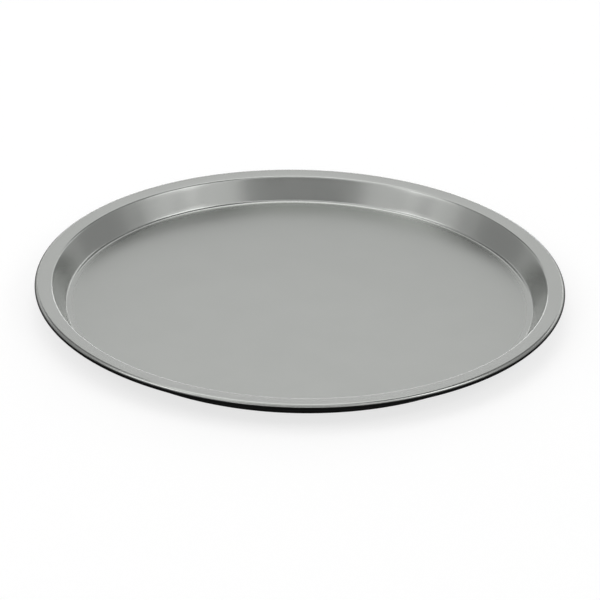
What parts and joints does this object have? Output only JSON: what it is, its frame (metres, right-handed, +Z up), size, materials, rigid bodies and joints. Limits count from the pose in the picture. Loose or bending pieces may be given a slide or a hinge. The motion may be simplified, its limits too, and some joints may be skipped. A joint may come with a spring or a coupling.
{
  "type": "pizza pan",
  "caption": "Round shallow metal baking pan with a flat floor, flared wall, wide flange and a rolled bead around its edge.",
  "frame": {"origin": "centre of the underside, on the surface that the pan stands on", "axes": "+Z up along the pan's axis; X and Y are any two directions across the round pan"},
  "size_m": [0.33, 0.33, 0.0162],
  "materials": {
    "coated_sheet": "satin grey non-stick coating on the food side, black coating on the outside",
    "rim_wire": "drawn steel wire"
  },
  "bodies": {
    "root": {"pan": "coated_sheet", "rim_wire": "rim_wire"}
  },
  "joints": []
}
